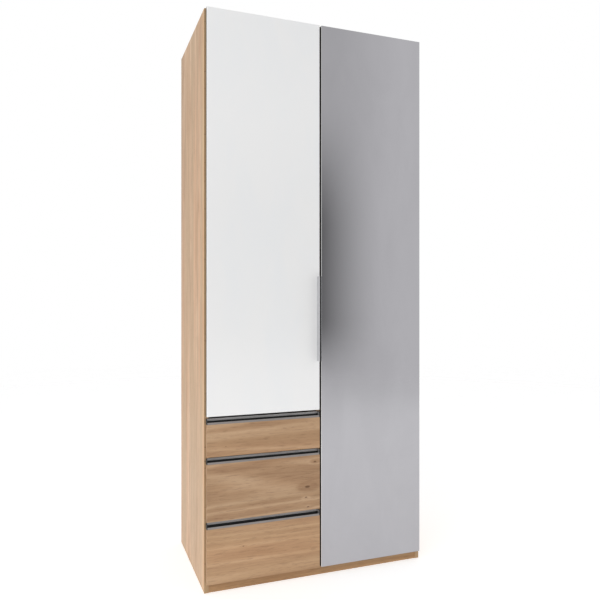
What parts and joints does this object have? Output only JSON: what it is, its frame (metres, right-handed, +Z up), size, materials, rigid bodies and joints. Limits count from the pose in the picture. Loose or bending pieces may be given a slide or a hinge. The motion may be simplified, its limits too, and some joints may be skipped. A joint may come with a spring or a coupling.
{
  "type": "two-door wardrobe with drawers",
  "caption": "Tall wardrobe with a short gloss door over handleless drawers beside a full-height mirror door, on a low plinth.",
  "frame": {"origin": "middle of the outline on the floor, handles included", "axes": "+X to the right seen from the front, +Y to the back, +Z up"},
  "size_m": [0.991, 0.613, 2.36],
  "materials": {
    "oak_light": "satin oak foil, upright grain",
    "oak": "satin oak foil, level grain",
    "back_board": "matt white foil",
    "door_board": "matt white foil",
    "white_glass": "high gloss",
    "mirror_glass": "polished",
    "handle_chrome": "bright",
    "drawer_board": "matt white foil",
    "grip_metal": "satin",
    "cap_plastic": "satin",
    "black_plastic": "matt",
    "rail_steel": "bright",
    "fitting_steel": "zinc plated"
  },
  "bodies": {
    "carcass": {"side_panel_left": "oak_light", "side_panel_right": "oak_light", "centre_partition": "oak_light", "top_panel": "oak_light", "bottom_panel": "oak_light", "plinth_front": "oak", "plinth_rear": "oak", "drawer_deck": "oak_light", "back_panel_left": "back_board", "back_panel_right": "back_board", "back_joint_strip": "back_board", "shelf_lower": "oak_light", "shelf_middle": "oak_light", "shelf_upper": "oak_light", "hat_shelf": "oak_light", "shelf_pins": "fitting_steel", "clothes_rail": "rail_steel", "rail_sockets": "fitting_steel", "floor_glides": "black_plastic", "cam_locks": "fitting_steel", "wall_brackets": "fitting_steel", "back_screws": "fitting_steel", "runner_rails": "fitting_steel", "door_catches": "cap_plastic", "hinge_arms_left": "fitting_steel", "hinge_arms_right": "fitting_steel"},
    "door_left": {"door_left_board": "door_board", "door_left_glass": "white_glass", "door_left_handle": "handle_chrome", "strike_left": "fitting_steel", "hinge_cups_left": "fitting_steel"},
    "door_right": {"door_right_board": "door_board", "door_right_mirror": "mirror_glass", "strike_right": "fitting_steel", "hinge_cups_right": "fitting_steel"},
    "links_left": {"hinge_links_left": "fitting_steel"},
    "links_right": {"hinge_links_right": "fitting_steel"},
    "drawer_lower": {"drawer_lower_front": "oak", "drawer_lower_grip": "grip_metal", "drawer_lower_caps": "cap_plastic", "drawer_lower_box": "drawer_board", "drawer_lower_base": "drawer_board", "drawer_lower_runners": "fitting_steel"},
    "runner_lower": {"runner_middles_lower": "fitting_steel"},
    "drawer_middle": {"drawer_middle_front": "oak", "drawer_middle_grip": "grip_metal", "drawer_middle_caps": "cap_plastic", "drawer_middle_box": "drawer_board", "drawer_middle_base": "drawer_board", "drawer_middle_runners": "fitting_steel"},
    "runner_middle": {"runner_middles_middle": "fitting_steel"},
    "drawer_upper": {"drawer_upper_front": "oak", "drawer_upper_grip": "grip_metal", "drawer_upper_caps": "cap_plastic", "drawer_upper_box": "drawer_board", "drawer_upper_base": "drawer_board", "drawer_upper_runners": "fitting_steel"},
    "runner_upper": {"runner_middles_upper": "fitting_steel"}
  },
  "joints": [
    {"name": "door_left_hinge", "type": "hinge", "parent": "carcass", "child": "door_left", "pos_m": [-0.4875, -0.2555, 1.535], "axis": [0, 0, -1], "range_deg": [0, 95]},
    {"name": "door_right_hinge", "type": "hinge", "parent": "carcass", "child": "door_right", "pos_m": [0.4875, -0.2555, 1.2], "axis": [0, 0, 1], "range_deg": [0, 95]},
    {"name": "links_left_pivot", "type": "hinge", "parent": "carcass", "child": "links_left", "pos_m": [-0.4705, -0.2515, 1.535], "axis": [0, 0, -1], "range_deg": [0, 119.4]},
    {"name": "links_right_pivot", "type": "hinge", "parent": "carcass", "child": "links_right", "pos_m": [0.4705, -0.2515, 1.2], "axis": [0, 0, 1], "range_deg": [0, 119.4]},
    {"name": "drawer_lower_slide", "type": "slide", "parent": "carcass", "child": "drawer_lower", "axis": [0, -1, 0], "range_m": [0, 0.4]},
    {"name": "runner_lower_slide", "type": "slide", "parent": "carcass", "child": "runner_lower", "axis": [0, -1, 0], "range_m": [0, 0.2]},
    {"name": "drawer_middle_slide", "type": "slide", "parent": "carcass", "child": "drawer_middle", "axis": [0, -1, 0], "range_m": [0, 0.4]},
    {"name": "runner_middle_slide", "type": "slide", "parent": "carcass", "child": "runner_middle", "axis": [0, -1, 0], "range_m": [0, 0.2]},
    {"name": "drawer_upper_slide", "type": "slide", "parent": "carcass", "child": "drawer_upper", "axis": [0, -1, 0], "range_m": [0, 0.4]},
    {"name": "runner_upper_slide", "type": "slide", "parent": "carcass", "child": "runner_upper", "axis": [0, -1, 0], "range_m": [0, 0.2]}
  ],
  "couplings": [
    {"joint": "links_left_pivot", "follows": "door_left_hinge", "ratio": 1.2558},
    {"joint": "links_right_pivot", "follows": "door_right_hinge", "ratio": 1.2558},
    {"joint": "runner_lower_slide", "follows": "drawer_lower_slide", "ratio": 0.5},
    {"joint": "runner_middle_slide", "follows": "drawer_middle_slide", "ratio": 0.5},
    {"joint": "runner_upper_slide", "follows": "drawer_upper_slide", "ratio": 0.5}
  ]
}
